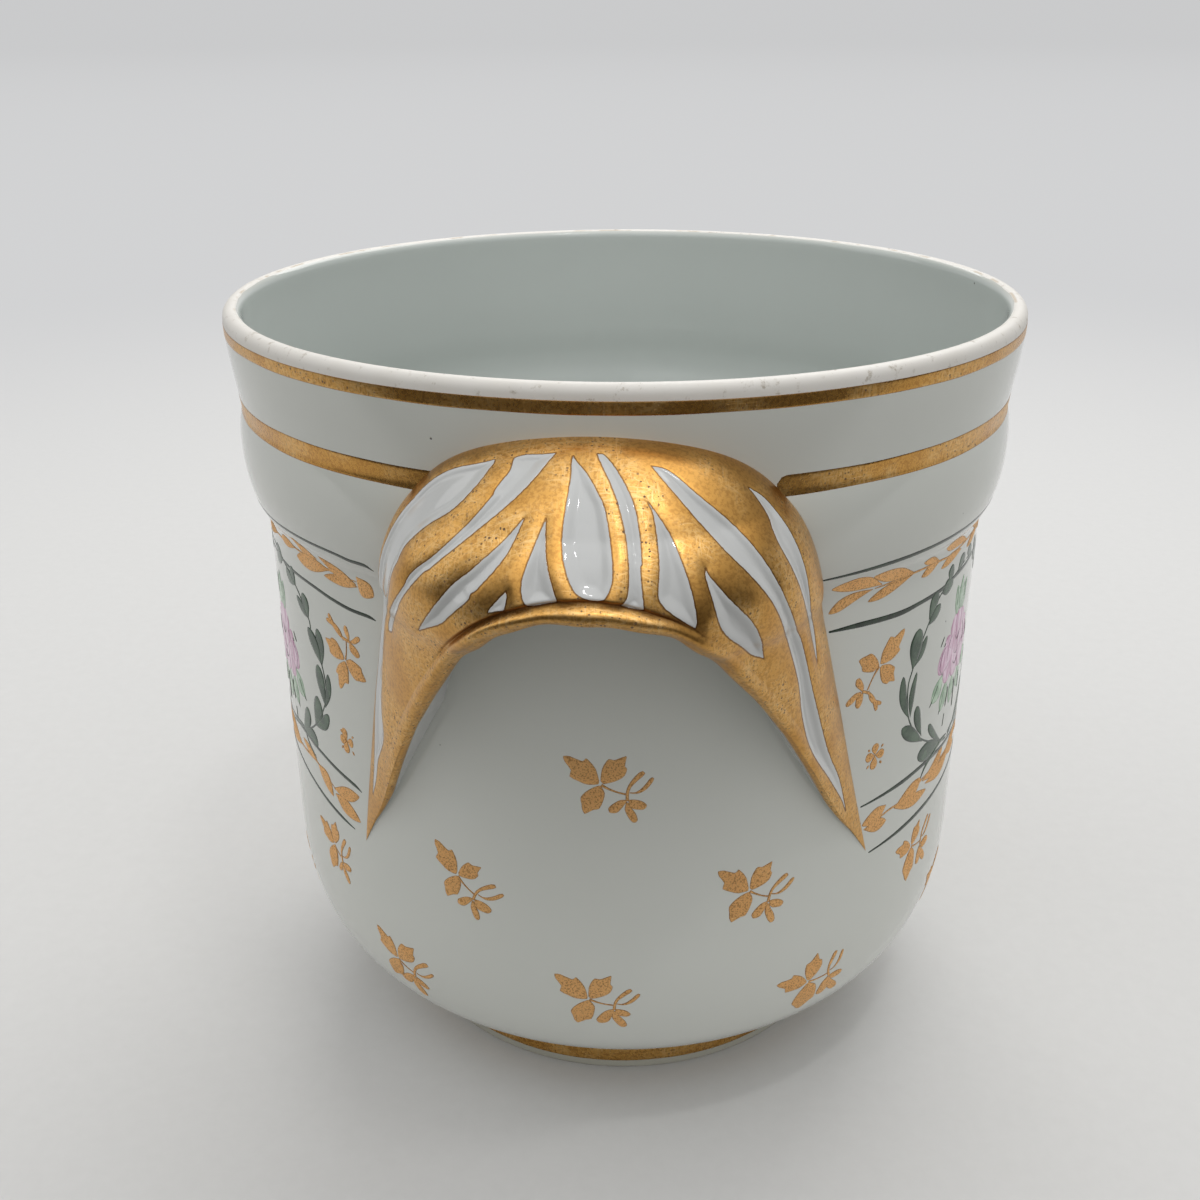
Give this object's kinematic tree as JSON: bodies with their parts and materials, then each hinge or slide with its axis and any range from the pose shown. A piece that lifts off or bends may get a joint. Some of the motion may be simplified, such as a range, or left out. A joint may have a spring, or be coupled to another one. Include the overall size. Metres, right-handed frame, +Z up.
{
  "type": "cache pot",
  "caption": "Round porcelain cache pot with a collared rim, low foot ring and fluted gilt shell handles, made to hold a planted flowerpot.",
  "frame": {"origin": "middle of the foot ring's underside, on the pot's own axis", "axes": "+Z up along the pot's axis, one handle towards -Y and its twin towards +Y"},
  "size_m": [0.15, 0.1938, 0.1496],
  "materials": {
    "glazed_porcelain": "clear gloss glaze with overglaze painting",
    "foot_porcelain": "gloss glaze with a gilt band and a bare resting edge",
    "gilding": "glazed porcelain, burnished gilt ribs over white flutes"
  },
  "bodies": {
    "root": {"pot_body": "glazed_porcelain", "foot_ring": "foot_porcelain", "handle_front": "gilding", "handle_back": "gilding"}
  },
  "joints": []
}
